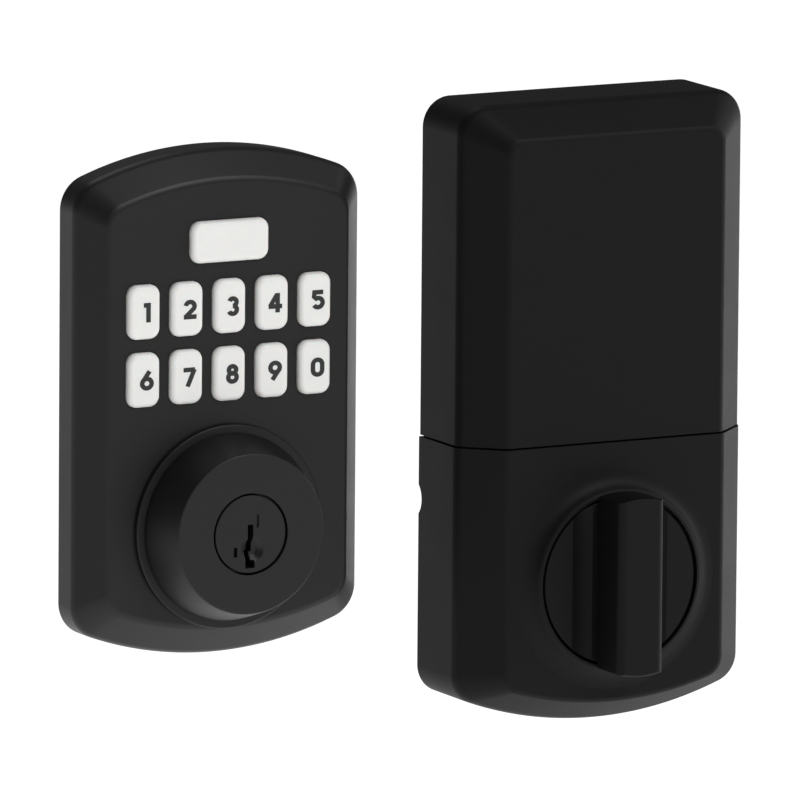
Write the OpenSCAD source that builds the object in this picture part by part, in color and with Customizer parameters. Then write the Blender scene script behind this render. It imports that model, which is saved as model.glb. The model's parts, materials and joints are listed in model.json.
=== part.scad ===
// Keypad smart lock: an outside half with keys and a key cylinder, and an inside half with a
// thumbturn, a motor gear train and a battery pack.
// The two halves stand side by side, as they come out of the box.
// Both door-side faces lie on the plane y = 0 and both fronts face -y, with +z up.
// The origin is the key cylinder's axis on that plane.
// Inside each half, parts are drawn lying on their back: x across, y up, z out of the door.

/* [Outside half] */
// Width of the escutcheon
ext_w = 73; // [66:1:87]
// Highest point above the key cylinder's axis
ext_high = 87; // [83:1:105]
// Lowest point below the key cylinder's axis
ext_low = 30.5; // [28:0.5:37]
// Radius of the arched top and bottom
ext_arch_r = 88; // [75:1:120]
// Radius of the outline's four corners
ext_corner_r = 8; // [6:0.5:10]
// Depth of the straight side wall
ext_side_d = 7.3; // [6.5:0.1:8.8]
// Depth of the flat front face
ext_face_d = 13.2; // [13:0.1:16]
// How far the front face is set in from the sides
ext_bevel_side = 5.8; // [5:0.1:7]
// How far the front face is set in from the top
ext_bevel_top = 6.5; // [5:0.1:8]
// How far the front face is set in from the bottom
ext_bevel_bottom = 7; // [5:0.1:8]
// Wall of the cast escutcheon
ext_wall = 2.2; // [1.8:0.1:2.7]

/* [Keys] */
// Bare strip between the outer keys and the bevel
key_margin = 3.3; // [2.5:0.1:4]
// Bare strip between two keys of a row
key_gap = 2.8; // [2.3:0.1:3.4]
// Height of a digit key
key_h = 12.6; // [10.5:0.1:13.2]
// Height of the lower row's centre
row_low = 35.5; // [35:0.1:40]
// Distance between the two rows
row_pitch = 15.7; // [15.2:0.1:17]
// Height of the lock key's centre
lock_key_y = 66.3; // [66:0.1:70]
// Width of the lock key
lock_key_w = 19.9; // [16.6:0.1:24]
// Height of the lock key
lock_key_h = 9.7; // [8:0.1:10.5]
// Corner radius of every key
key_r = 2.3; // [1.5:0.1:2.5]
// How far the keys stand out of the face
key_proud = 1.4; // [1:0.1:2]
// How far a key goes in
key_travel = 1; // [0.6:0.1:1.2]
// Play around a key in its window
key_play = 0.22; // [0.15:0.01:0.35]

/* [Key cylinder] */
// Radius of the key plug
plug_r = 9; // [7.5:0.1:10.8]
// Wall of the cylinder body around the plug, with the pin chambers in it
body_wall = 6.1; // [5.6:0.1:6.6]
// Visible gap around the plug's face
plug_ring = 0.5; // [0.3:0.05:0.8]
// Running clearance of the plug in its body
plug_fit = 0.05; // [0.03:0.01:0.08]
// Depth of the collar's front face
collar_d = 25.3; // [22:0.1:30]
// Radius of the collar's front edge
collar_front_r = 18.6; // [18.4:0.1:21]
// Radius of the collar's foot
collar_foot_r = 23.7; // [23.7:0.1:26]
// Radius of the pins in the plug
pin_r = 1.45; // [1.2:0.05:1.7]
// Distance between two pins
pin_pitch = 3.8; // [3.6:0.1:4]
// Length of the torque blade behind the door face
blade_len = 58; // [40:1:75]
// Width of the torque blade
blade_w = 6.8; // [5.7:0.1:8]
// Thickness of the torque blade
blade_t = 1.8; // [1.4:0.1:2.4]

/* [Inside half] */
// Width of the inside half
int_w = 74.8; // [73:0.1:89]
// Highest point above the thumbturn's axis
int_high = 111.7; // [110:0.1:134]
// Lowest point below the thumbturn's axis
int_low = 34.3; // [32:0.1:41]
// Radius of the arched bottom
int_arch_r = 92; // [80:1:120]
// Radius of the two top corners
int_corner_r = 7; // [5:0.5:9]
// Depth of the straight side wall
int_side_d = 18.2; // [17:0.1:20]
// Depth of the flat front face
int_face_d = 26.6; // [26.6:0.1:32]
// How far the front face is set in from the sides
int_bevel_side = 9; // [7:0.1:10]
// How far the front face is set in from the top
int_bevel_top = 7.4; // [6:0.1:9]
// How far the front face is set in from the bottom
int_bevel_bottom = 5.6; // [5:0.1:7]
// Wall of the moulded housing and cover
int_wall = 2.1; // [1.8:0.1:2.5]
// Height of the seam between housing and battery cover
seam_y = 32; // [32:0.1:34]
// Open seam below the battery cover
seam_gap = 0.4; // [0.3:0.05:0.6]
// How much narrower the battery cover is, on each side
cover_step = 0.3; // [0.1:0.05:0.5]

/* [Thumbturn and gears] */
// Radius of the turning disc
disc_r = 19.6; // [18:0.1:20]
// Gap around the turning disc
disc_ring = 0.7; // [0.5:0.05:1]
// Height of the raised boss around the disc
boss_h = 2.8; // [2:0.1:3.4]
// Width of the paddle
paddle_w = 11.8; // [9.8:0.1:14.2]
// Half of the paddle's length
paddle_reach = 20.9; // [19.8:0.1:21.5]
// Height of the paddle's front above the boss
paddle_h = 10.8; // [9:0.1:13]
// Radius of the spindle
spindle_r = 6; // [5.2:0.1:6.6]
// Size of a gear tooth: pitch diameter per tooth
tooth = 0.8; // [0.7:0.05:0.85]
// Teeth of the main gear
main_teeth = 36; // [32:1:38]
// Teeth of the idler's pinion and of the motor pinion
pinion_teeth = 12; // [12:1:13]
// Teeth of the idler's wheel
wheel_teeth = 28; // [26:1:29]
// Slack between meshing teeth
backlash = 0.2; // [0.15:0.01:0.25]
// Running clearance of a round shaft
shaft_fit = 0.05; // [0.03:0.01:0.08]

/* [Fixings] */
// Room between the collar's nut and the threaded posts on either side of it
screw_room = 0.85; // [0.6:0.05:2]
// Radius of a mounting screw, which joins the halves through the door
screw_r = 2; // [1.7:0.1:2.4]
// Radius of a small screw
small_r = 1.1; // [0.9:0.1:1.3]
// Gap between parts that lie against each other
gap = 0.1; // [0.05:0.01:0.15]

/* [Batteries] */
// Radius of a battery cell
cell_r = 7.1; // [7:0.05:7.25]
// Length of a battery cell
cell_len = 50; // [49:0.1:50.5]
// Distance between the axes of two cells
cell_pitch = 14.8; // [14.6:0.1:15.2]

/* [Hidden] */
$fn = 48;
past = 1;
black = "#2b2b2b";
dark = "#1f1f1f";
white = "#e9e9e7";
steel = "#a9adb0";
brass = "#b8963f";
green = "#1f5a3a";
nylon = "#d8d4c4";

// Outside half, worked out from the values above
ext_in = ext_face_d - ext_wall;
flat_half = ext_w / 2 - ext_bevel_side;
key_pitch = (2 * flat_half - 2 * key_margin) / 5;
key_w = key_pitch - key_gap;
row_high = row_low + row_pitch;
key_top = ext_face_d + key_proud;
flange_out = 0.8;
flange_t = 1.2;
flange_top = ext_in - 0.3;
flange_low = flange_top - flange_t;
board_t = 1.6;
mat_t = 0.8;
dome_top = flange_low - key_travel - 0.3;
mat_top = dome_top - 1;
mat_low = mat_top - mat_t;
kboard_top = mat_low - gap;
kboard_low = kboard_top - board_t;
retainer_t = 1.3;
retainer_top = kboard_low - gap;
retainer_low = retainer_top - retainer_t;
stack_half = flat_half - 1.3;
stack_low = row_low - key_h / 2 - 7;
stack_high = lock_key_y + lock_key_h / 2 + 2.4;
post_x = min(flat_half - 6, 2.5 * key_pitch - 5);
post_low_y = stack_low + 3.5;
post_high_y = lock_key_y + 1.5;
post_r = 2.3;
bore_r = plug_r + plug_fit;
body_r = bore_r + body_wall;
body_back = 3;
body_front = collar_d - 2;
sleeve_in = body_r + gap;
sleeve_r = sleeve_in + 1.9;
nut_low = 8.2;
nut_r = sleeve_r + 2;
neck_r = 5.5;
neck_back = 0.3;
clip_t = 0.8;
blade_seat = 1.8;
foot_t = 1.3;
pin_count = 5;
pin_first = 4.9;
chamber_r = pin_r + 0.05;
chamber_top = body_r - 0.9;
post_outer_r = 3.4;
screw_span = 2 * (nut_r + post_outer_r + screw_room);

// Inside half
int_x = 94;
int_z = -17.4;
int_half = int_w / 2;
int_in = int_face_d - int_wall;
plate_t = 1.5;
chassis_low = plate_t + gap;
chassis_top = chassis_low + 2;
room_half = int_half - int_wall - 0.4;
boss_top = int_face_d + boss_h;
boss_in = disc_r + disc_ring;
boss_out = boss_in + 4.8;
disc_t = 4;
disc_top = boss_top - 0.2;
disc_low = disc_top - disc_t;
paddle_top = boss_top + paddle_h;
hub_r = spindle_r + 2;
gear_t = 3;
gear_low = chassis_top + 1.4;
gear_top = gear_low + gear_t;
wheel_low = gear_top + 0.4;
wheel_top = wheel_low + gear_t;
gearplate_low = wheel_top + 0.6;
gearplate_t = 1.5;
gearplate_top = gearplate_low + gearplate_t;
idler_d = (main_teeth + pinion_teeth) * tooth / 2;
idler_angle = -20;
idler_x = idler_d * cos(idler_angle);
idler_y = idler_d * sin(idler_angle);
motor_x = idler_x;
motor_y = idler_y + (wheel_teeth + pinion_teeth) * tooth / 2;
motor_r = 7.4;
axle_r = 1.5;
shaft_r = 1;
pressure = 25;
steps = 3;
tray_floor_t = 1.4;
tray_low = chassis_top + 1.6;
cell_z = tray_low + tray_floor_t + gap + cell_r;
tray_y = seam_y + 9;
tray_wall = 1.5;
spring_room = 5;
tray_high_y = tray_y + 2 * tray_wall + spring_room + cell_len + 3;
cell_y = tray_y + tray_wall + spring_room + gap;
tray_half = 2 * cell_pitch + 0.6;
cboard_low = gearplate_top + 1.8;
cboard_top = cboard_low + board_t;
cboard_left = -room_half + 1.2;
cboard_right = -hub_r - 2.6;
cboard_y0 = -12;
cboard_y1 = 28;
cam_low = cboard_top + 0.4;
cam_t = 2.2;
button_x = 0;
button_y = seam_y + 4.6;
button_r = 2;
button_travel = 0.8;
pillar_spots = [[-13.2, -13.2], [-13.2, 13.2], [29, 9], [6, -21.4]];
board_spots = [[cboard_left + 3, 25], [cboard_left + 3, -9], [cboard_right - 4, 25], [-21, -9]];
housing_spots = [[3.2 - room_half, -18.5], [room_half - 3.2, 22]];
chassis_spots = [[0, -25], [-18, 37], [18, 37]];
cable_y = 50;

// Points along an arc; both ends are left out when skip is 1
function arc(cx, cy, r, a0, a1, n, skip = 0) =
    [for (i = [skip : n - skip]) let (a = a0 + (a1 - a0) * i / n) [cx + r * cos(a), cy + r * sin(a)]];

// A straight-sided outline with an arched top and bottom and four round corners
function outline(half, high, low, r_high, r_low, c_high, c_low) =
    let (
        hx = half - c_high,
        hy = high - r_high + sqrt(pow(r_high - c_high, 2) - pow(hx, 2)),
        lx = half - c_low,
        ly = -low + r_low - sqrt(pow(r_low - c_low, 2) - pow(lx, 2)),
        ah = atan2(hy - high + r_high, hx),
        al = atan2(r_low - low - ly, lx)
    )
    concat(
        arc(hx, hy, c_high, 0, ah, 6),
        arc(0, high - r_high, r_high, ah, 180 - ah, 16, 1),
        arc(-hx, hy, c_high, 180 - ah, 180, 6),
        arc(-lx, ly, c_low, 180, 180 + al, 6),
        arc(0, r_low - low, r_low, 180 + al, 360 - al, 16, 1),
        arc(lx, ly, c_low, 360 - al, 360, 6)
    );

// The outside half's outline, set in by the given amounts
function ext_line(side, top, bottom) =
    outline(ext_w / 2 - side, ext_high - top, ext_low - bottom, ext_arch_r - top, ext_arch_r - bottom,
        ext_corner_r - side * 0.4, ext_corner_r - side * 0.4);

// The inside half's outline, set in by the given amounts; its top is straight
function int_line(side, top, bottom) =
    outline(int_half - side, int_high - top, int_low - bottom, 9000, int_arch_r - bottom,
        int_corner_r - side * 0.35, int_corner_r - side * 0.25);

// Stands a part of the outside half up against the door
module outside() {
    rotate([90, 0, 0])
        children();
}

// Stands a part of the inside half up against the door
module inside() {
    translate([int_x, 0, int_z])
        rotate([90, 0, 0])
            children();
}

// A flat piece between two depths
module slab(low, high) {
    translate([0, 0, low])
        linear_extrude(high - low)
            children();
}

// A round piece between two depths
module disc(r, low, high) {
    translate([0, 0, low])
        cylinder(r = r, h = high - low);
}

// A block between two corners
module block(from, to) {
    translate(from)
        cube(to - from);
}

// A flat rectangle with round corners, about the origin
module rounded(w, h, r) {
    square([w - 2 * r, h], center = true);
    square([w, h - 2 * r], center = true);
    for (x = [-1, 1], y = [-1, 1])
        translate([x * (w / 2 - r), y * (h / 2 - r)])
            circle(r);
}

// The outside half's solid form: straight side, sloping bevel and flat face
module ext_form(skin, back) {
    d = ext_face_d - skin;
    hull() {
        slab(back, ext_side_d - 0.7)
            polygon(ext_line(skin, skin, skin));
        slab(ext_side_d - 0.05, ext_side_d)
            polygon(ext_line(skin + 0.4, skin + 0.4, skin + 0.4));
        slab(d - 0.4, d - 0.3)
            polygon(ext_line(ext_bevel_side + skin - 0.35, ext_bevel_top + skin - 0.35,
                ext_bevel_bottom + skin - 0.35));
        slab(d - 0.05, d)
            polygon(ext_line(ext_bevel_side + skin + 0.1, ext_bevel_top + skin + 0.1,
                ext_bevel_bottom + skin + 0.1));
    }
}

// The inside half's solid form
module int_form(skin, back) {
    d = int_face_d - skin;
    hull() {
        slab(back, int_side_d - 1)
            polygon(int_line(skin, skin, skin));
        slab(int_side_d - 0.05, int_side_d)
            polygon(int_line(skin + 0.6, skin + 0.6, skin + 0.5));
        slab(d - 0.5, d - 0.4)
            polygon(int_line(int_bevel_side + skin - 0.5, int_bevel_top + skin - 0.5,
                int_bevel_bottom + skin - 0.5));
        slab(d - 0.05, d)
            polygon(int_line(int_bevel_side + skin + 0.2, int_bevel_top + skin + 0.2,
                int_bevel_bottom + skin + 0.2));
    }
}

// Puts something at each of the keypad's four screw posts
module at_posts() {
    for (x = [-1, 1], y = [post_low_y, post_high_y])
        translate([x * post_x, y, 0])
            children();
}

// Puts something at each digit key's centre
module at_keys() {
    for (column = [-2 : 2], y = [row_low, row_high])
        translate([column * key_pitch, y, 0])
            children();
}

// Puts something at each pin's chamber, turned so that it points up out of the plug
module at_pins() {
    for (i = [0 : pin_count - 1])
        translate([0, 0, pin_first + i * pin_pitch])
            rotate([-90, 0, 0])
                children();
}

module at_screws() {
    for (x = [-1, 1])
        translate([x * screw_span / 2, 0, 0])
            children();
}

module at_spots(spots) {
    for (spot = spots)
        translate([spot.x, spot.y, 0])
            children();
}

// A small screw with a round head; its tip is at low and its head stands above seat
module small_screw(low, seat, head = 1.1) {
    difference() {
        union() {
            disc(small_r, low, seat);
            disc(small_r * 2, seat, seat + head);
        }
        translate([0, 0, seat + head])
            cube([small_r * 2.6, 0.5, 0.9], center = true);
    }
}

module escutcheon() {
    color(black)
        outside() {
            difference() {
                ext_form(0, 0);
                ext_form(ext_wall, -past);
                at_keys()
                    slab(ext_in - past, ext_face_d + past)
                        rounded(key_w + 2 * key_play, key_h + 2 * key_play, key_r + key_play);
                translate([0, lock_key_y, 0])
                    slab(ext_in - past, ext_face_d + past)
                        rounded(lock_key_w + 2 * key_play, lock_key_h + 2 * key_play, key_r + key_play);
                disc(sleeve_r + gap, ext_in - past, ext_face_d + past);
            }
            at_posts()
                difference() {
                    disc(post_r, kboard_top + gap, ext_in + 0.4);
                    disc(small_r + gap, kboard_top - past, ext_in - 0.4);
                }
        }
}

module rim_gasket() {
    color(dark)
        outside()
            difference() {
                slab(0, 1.6)
                    polygon(ext_line(ext_wall + gap, ext_wall + gap, ext_wall + gap));
                slab(-past, 1.6 + past)
                    polygon(ext_line(ext_wall + 2.6, ext_wall + 2.6, ext_wall + 2.6));
            }
}

// A key: cap through the window, and a flange behind the face that keeps it in
module key_shape(w, h) {
    hull() {
        slab(flange_top, key_top - 0.5)
            rounded(w, h, key_r);
        slab(key_top - 0.1, key_top)
            rounded(w - 0.8, h - 0.8, key_r - 0.4);
    }
    slab(flange_low, flange_top + gap)
        rounded(w + 2 * flange_out, h + 2 * flange_out, key_r);
}

// Digit keys are counted from the left; row 1 is the upper one
module digit_key(column, row) {
    color(white)
        outside()
            translate([(column - 3) * key_pitch, row == 1 ? row_high : row_low, 0])
                key_shape(key_w, key_h);
}

module lock_key() {
    color(white)
        outside()
            translate([0, lock_key_y, 0])
                key_shape(lock_key_w, lock_key_h);
}

// The outline that the mat, board and retainer share
module stack_plate(low, high) {
    slab(low, high)
        translate([0, (stack_low + stack_high) / 2])
            rounded(2 * stack_half, stack_high - stack_low, 4);
}

module dome() {
    disc(2.9, mat_low, (mat_top + dome_top) / 2);
    disc(2.2, mat_low, dome_top);
}

module keypad_mat() {
    color("#8d8f90")
        outside() {
            difference() {
                stack_plate(mat_low, mat_top);
                at_posts()
                    disc(post_r + 0.3, mat_low - past, mat_top + past);
            }
            at_keys()
                dome();
            translate([0, lock_key_y, 0])
                dome();
        }
}

module keypad_board() {
    color(green)
        outside()
            difference() {
                stack_plate(kboard_low, kboard_top);
                at_posts()
                    disc(small_r + gap, kboard_low - past, kboard_top + past);
            }
}

module keypad_retainer() {
    color(dark)
        outside()
            difference() {
                stack_plate(retainer_low, retainer_top);
                at_posts()
                    disc(small_r + gap, retainer_low - past, retainer_top + past);
                translate([0, row_low, 0])
                    slab(retainer_low - past, retainer_top + past)
                        rounded(15, 9, 1);
            }
}

module retainer_screws() {
    color(steel)
        outside()
            at_posts()
                translate([0, 0, retainer_low - gap / 2])
                    mirror([0, 0, 1])
                        small_screw(retainer_low - ext_in + 1, 0);
}

// An open box header; its plug comes in from the side given by the box's open depth
module socket_shape(low, high, open_low) {
    difference() {
        slab(low, high)
            rounded(13, 6.4, 0.6);
        slab(open_low ? low - past : low + 0.8, open_low ? high - 0.8 : high + past)
            rounded(11, 4.4, 0.4);
    }
    for (x = [-4 : 2 : 4])
        translate([x, 0, 0])
            disc(0.35, low + 0.5, high - 0.5);
}

module keypad_socket() {
    color(nylon)
        outside()
            translate([0, row_low, 0])
                socket_shape(0.4, kboard_low - gap / 2, true);
}

module cylinder_collar() {
    foot = ext_face_d + 0.02;
    color(black)
        outside()
            rotate_extrude($fn = 96)
                polygon([
                    [sleeve_in, nut_low - 0.8],
                    [sleeve_r, nut_low - 0.8],
                    [sleeve_r, foot],
                    [collar_foot_r, foot],
                    [collar_foot_r, foot + foot_t - 0.4],
                    [collar_foot_r - 0.4, foot + foot_t],
                    [collar_foot_r - 1.9, foot + foot_t + 0.2],
                    [collar_foot_r - 2, foot + foot_t + 0.9],
                    [collar_front_r + 0.5, collar_d - 1.4],
                    [collar_front_r + 0.3, collar_d - 0.5],
                    [collar_front_r - 0.2, collar_d],
                    [plug_r + plug_ring, collar_d],
                    [plug_r + plug_ring, body_front + gap],
                    [sleeve_in, body_front + gap]
                ]);
}

module collar_nut() {
    color(steel)
        outside()
            difference() {
                rotate([0, 0, 15])
                    disc(nut_r, nut_low, ext_in - gap, $fn = 12);
                disc(sleeve_r + shaft_fit, nut_low - past, ext_in + past);
            }
}

module cylinder_body() {
    color(brass)
        outside()
            difference() {
                disc(body_r, body_back, body_front);
                disc(bore_r, body_back - past, body_front + past);
                at_pins()
                    disc(chamber_r, plug_r - 1, chamber_top);
            }
}

module key_plug() {
    keyway_w = 1.4;
    color(black)
        outside()
            difference() {
                union() {
                    disc(plug_r, body_back, collar_d - 0.15);
                    disc(neck_r, neck_back, body_back + gap);
                }
                at_pins()
                    disc(chamber_r, 1.4, plug_r + past);
                translate([-keyway_w / 2, -4.2, body_back + 2])
                    cube([keyway_w, 6.4, collar_d]);
                translate([-keyway_w / 2 - 0.6, -7.9, body_back + 2])
                    cube([keyway_w, 4.2, collar_d]);
                translate([-keyway_w / 2, -7.9, body_back + 2])
                    cube([keyway_w + 0.4, 1.8, collar_d]);
                translate([0.5, -3.6, collar_d - 1])
                    cylinder(r1 = 1.6, r2 = 3, h = 1.2);
                translate([-4.3, -5.1, collar_d - 1.2])
                    cube([0.9, 2.2, past + 1]);
                translate([1.5, 1.4, collar_d - 0.5])
                    cube([0.6, 3, past]);
                translate([0, 0, neck_back])
                    cube([blade_w + 0.1, blade_t + 0.1, 2 * blade_seat], center = true);
            }
}

module plug_clip() {
    color(steel)
        outside()
            difference() {
                disc(plug_r - 0.4, body_back - clip_t - 0.2, body_back - 0.2);
                disc(neck_r + 0.02, 0, body_back + past);
                translate([0, -plug_r, 0])
                    cube([2 * neck_r - 1.6, 2 * plug_r, 3 * body_back], center = true);
            }
}

// Five pins cut to a key, with their outer ends on the shear line
module key_pins() {
    color(brass)
        outside()
            at_pins()
                disc(pin_r, 2.4, plug_r - 0.15);
}

module driver_pins() {
    color(brass)
        outside()
            at_pins()
                disc(pin_r, plug_r + 0.12, plug_r + 2.4);
}

module pin_springs() {
    color(steel)
        outside()
            at_pins()
                difference() {
                    disc(pin_r - 0.1, plug_r + 2.5, chamber_top - gap);
                    disc(pin_r - 0.45, plug_r + 2.4, chamber_top);
                }
}

module torque_blade() {
    color(steel)
        outside()
            slab(-blade_len, neck_back + blade_seat - gap)
                square([blade_w, blade_t], center = true);
}

module threaded_posts() {
    color(steel)
        outside()
            at_screws()
                difference() {
                    union() {
                        disc(post_outer_r, 0, ext_side_d);
                        translate([0, 0, ext_side_d])
                            cylinder(r1 = post_outer_r, r2 = post_outer_r - 1, h = ext_in - gap - ext_side_d);
                    }
                    disc(screw_r - 0.35, -past, ext_in - 2);
                }
}

// Everything of the inside half above or below the seam
module above_seam(y) {
    intersection() {
        children();
        block([-int_w, y, -2 * past], [int_w, 2 * int_high, 2 * int_face_d]);
    }
}

module below_seam(y) {
    intersection() {
        children();
        block([-int_w, -2 * int_low, -2 * past], [int_w, y, 2 * int_face_d]);
    }
}

module lower_housing() {
    notch_r = 4.6;
    color(dark)
        inside()
            difference() {
                union() {
                    difference() {
                        union() {
                            below_seam(seam_y)
                                int_form(0, 0);
                            translate([0, 0, int_face_d - gap])
                                cylinder(r1 = boss_out, r2 = boss_in + 0.9, h = boss_h + gap, $fn = 96);
                        }
                        below_seam(seam_y - int_wall)
                            int_form(int_wall, -past);
                        block([-room_half - 0.2, 0, -past], [room_half + 0.2, seam_y + past, chassis_top + gap]);
                    }
                    at_spots(housing_spots)
                        disc(2.6, chassis_top + gap, int_side_d + 1.9);
                }
                disc(boss_in, 0, boss_top + past, $fn = 96);
                at_spots(housing_spots)
                    disc(small_r + gap, 0, chassis_top + 9);
                translate([-int_half - past, 17.3, 1.5 - notch_r])
                    rotate([0, 90, 0])
                        cylinder(r = notch_r, h = int_wall + 2 * past);
            }
}

module battery_cover() {
    color(dark)
        inside()
            difference() {
                above_seam(seam_y + seam_gap)
                    int_form(cover_step, 0);
                above_seam(seam_y - past)
                    int_form(int_wall, -past);
            }
}

// The way in for the cable from the outside half
module cable_window(low, high, extra) {
    translate([0, cable_y, 0])
        slab(low, high)
            rounded(16 + 2 * extra, 9 + 2 * extra, 2);
}

module mounting_plate() {
    color(steel)
        inside()
            difference() {
                slab(0, plate_t)
                    translate([0, 18])
                        rounded(screw_span + 11, 92, 8);
                disc(hub_r + 1, -past, plate_t + past);
                at_screws()
                    disc(screw_r + 0.15, -past, plate_t + past);
                at_spots(chassis_spots)
                    disc(small_r + gap, -past, plate_t + past);
                at_spots(housing_spots)
                    disc(small_r * 2 + gap / 2, -past, plate_t + past);
                cable_window(-past, plate_t + past, 1);
            }
}

module chassis() {
    color(dark)
        inside()
            difference() {
                union() {
                    slab(chassis_low, chassis_top)
                        polygon(int_line(int_wall + 0.4, int_wall + 0.4, int_wall + 0.4));
                    at_spots(pillar_spots)
                        disc(2.2, chassis_top - gap, gearplate_low);
                    at_spots(board_spots)
                        disc(2.2, chassis_top - gap, cboard_low - gap);
                }
                disc(hub_r, 0, chassis_top + past);
                at_screws()
                    disc(4.5, 0, chassis_top + past);
                at_spots(pillar_spots)
                    disc(small_r + gap, chassis_top, gearplate_low + past);
                at_spots(board_spots)
                    disc(small_r + gap, chassis_top, cboard_low + past);
                at_spots(chassis_spots)
                    disc(small_r + gap, 0, chassis_top + past);
                at_spots(housing_spots)
                    disc(small_r + gap, 0, chassis_top + past);
                translate([idler_x, idler_y, 0])
                    disc(axle_r + 0.02, 0, chassis_top + past);
                cable_window(0, chassis_top + past, 0);
            }
}

module chassis_screws() {
    color(steel)
        inside()
            at_spots(chassis_spots)
                small_screw(0.2, chassis_top + 0.02);
}

module housing_screws() {
    color(steel)
        inside()
            at_spots(housing_spots)
                translate([0, 0, chassis_low - 0.02])
                    mirror([0, 0, 1])
                        small_screw(-8.5, 0);
}

module spindle_bushing() {
    color(brass)
        inside()
            difference() {
                union() {
                    disc(hub_r - 0.02, chassis_low, chassis_top + 0.02);
                    disc(hub_r + 1.5, chassis_top + 0.02, chassis_top + 0.8);
                }
                disc(spindle_r + shaft_fit, 0, chassis_top + 2);
            }
}

module turn_spindle() {
    color(steel)
        inside()
            difference() {
                disc(spindle_r, 0.5, disc_low - 0.1);
                slab(0, 15)
                    square([blade_w + 0.8, blade_t + 0.8], center = true);
            }
}

module spindle_clip() {
    color(steel)
        inside()
            difference() {
                disc(hub_r - 0.2, 0.6, chassis_low - 0.2);
                disc(spindle_r + 0.02, 0, chassis_low + past);
                translate([0, -spindle_r, 0])
                    cube([spindle_r, 2 * spindle_r, 6], center = true);
            }
}

// Involute angle, in degrees, for a pressure angle
function involute(a) = tan(a) * 180 / PI - a;

// Half of a tooth's angle at a radius
function flank(n, r) =
    let (pitch_r = n * tooth / 2, base_r = pitch_r * cos(pressure))
    90 / n - backlash / (4 * pitch_r) * 180 / PI + involute(pressure) - involute(acos(min(1, base_r / r)));

// Outline of a spur gear with a tooth centred on the x axis
function gear_line(n) =
    let (
        pitch_r = n * tooth / 2,
        root_r = pitch_r - 1.2 * tooth,
        tip_r = pitch_r + 0.9 * tooth,
        start_r = max(pitch_r * cos(pressure), root_r + 0.1),
        radii = [for (i = [0 : steps]) start_r + (tip_r - start_r) * i / steps]
    )
    [for (k = [0 : n - 1]) let (a = 360 * k / n) each concat(
        [[root_r * cos(a - flank(n, start_r)), root_r * sin(a - flank(n, start_r))]],
        [for (r = radii) [r * cos(a - flank(n, r)), r * sin(a - flank(n, r))]],
        [for (i = [steps : -1 : 0]) let (r = radii[i]) [r * cos(a + flank(n, r)), r * sin(a + flank(n, r))]],
        [[root_r * cos(a + flank(n, start_r)), root_r * sin(a + flank(n, start_r))]]
    )];

module gear(n, low, high, turn) {
    rotate([0, 0, turn])
        slab(low, high)
            polygon(gear_line(n));
}

module main_gear() {
    color(nylon)
        inside()
            difference() {
                gear(main_teeth, gear_low, gear_top, idler_angle);
                disc(spindle_r + 0.02, 0, gear_top + past);
            }
}

module idler_gear() {
    color(nylon)
        inside()
            translate([idler_x, idler_y, 0])
                difference() {
                    union() {
                        gear(pinion_teeth, gear_low, wheel_low + gap, idler_angle + 180 + 180 / pinion_teeth);
                        gear(wheel_teeth, wheel_low, wheel_top, 90);
                    }
                    disc(axle_r + shaft_fit, 0, wheel_top + past);
                }
}

module idler_axle() {
    color(steel)
        inside()
            translate([idler_x, idler_y, 0])
                disc(axle_r, chassis_low, gearplate_top);
}

module motor_pinion() {
    color(brass)
        inside()
            translate([motor_x, motor_y, 0])
                difference() {
                    gear(pinion_teeth, wheel_low, wheel_top, 180 / pinion_teeth - 90);
                    disc(shaft_r + 0.02, 0, wheel_top + past);
                }
}

module motor_shaft() {
    color(steel)
        inside()
            translate([motor_x, motor_y, 0])
                disc(shaft_r, wheel_low, gearplate_top + 4);
}

module gear_motor() {
    color(steel)
        inside()
            translate([motor_x, motor_y, 0])
                difference() {
                    union() {
                        disc(motor_r, gearplate_top + gap, int_in - 0.8);
                        disc(3, gearplate_low + gap, gearplate_top + 2 * gap);
                    }
                    disc(shaft_r + shaft_fit, 0, gearplate_top + 5);
                }
}

module gearbox_plate() {
    color(steel)
        inside()
            difference() {
                slab(gearplate_low + 0.02, gearplate_top)
                    translate([8, -5])
                        rounded(49, 40, 4);
                disc(spindle_r + 0.5, 0, gearplate_top + past);
                translate([idler_x, idler_y, 0])
                    disc(axle_r + 0.02, 0, gearplate_top + past);
                translate([motor_x, motor_y, 0])
                    disc(3.1, 0, gearplate_top + past);
                at_spots(pillar_spots)
                    disc(small_r + gap, 0, gearplate_top + past);
            }
}

module gearbox_screws() {
    color(steel)
        inside()
            at_spots(pillar_spots)
                small_screw(chassis_top + 1, gearplate_top + 0.02);
}

module control_board() {
    color(green)
        inside()
            difference() {
                block([cboard_left, cboard_y0, cboard_low], [cboard_right, cboard_y1, cboard_top]);
                at_spots(board_spots)
                    disc(small_r + gap, 0, cboard_top + past);
            }
}

module board_screws() {
    color(steel)
        inside()
            at_spots(board_spots)
                small_screw(chassis_top + 4, cboard_top + 0.02);
}

module buzzer() {
    color(dark)
        inside()
            translate([(cboard_left + cboard_right) / 2, 19, 0])
                difference() {
                    disc(5, cboard_top + 0.05, cboard_top + 4);
                    disc(0.9, cboard_top + 2, cboard_top + 5);
                }
}

module harness_socket() {
    color(nylon)
        inside()
            translate([cboard_left + 7, 6, 0])
                rotate([0, 0, 90])
                    socket_shape(cboard_top + 0.05, cboard_top + 4.4, false);
}

module position_cam() {
    color(nylon)
        inside()
            difference() {
                disc(hub_r + 1.2, cam_low, cam_low + cam_t);
                disc(spindle_r + 0.02, 0, cam_low + cam_t + past);
                for (side = [-1, 1])
                    translate([0, side * (hub_r + 2), 0])
                        disc(2, 0, cam_low + cam_t + past);
            }
}

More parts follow.
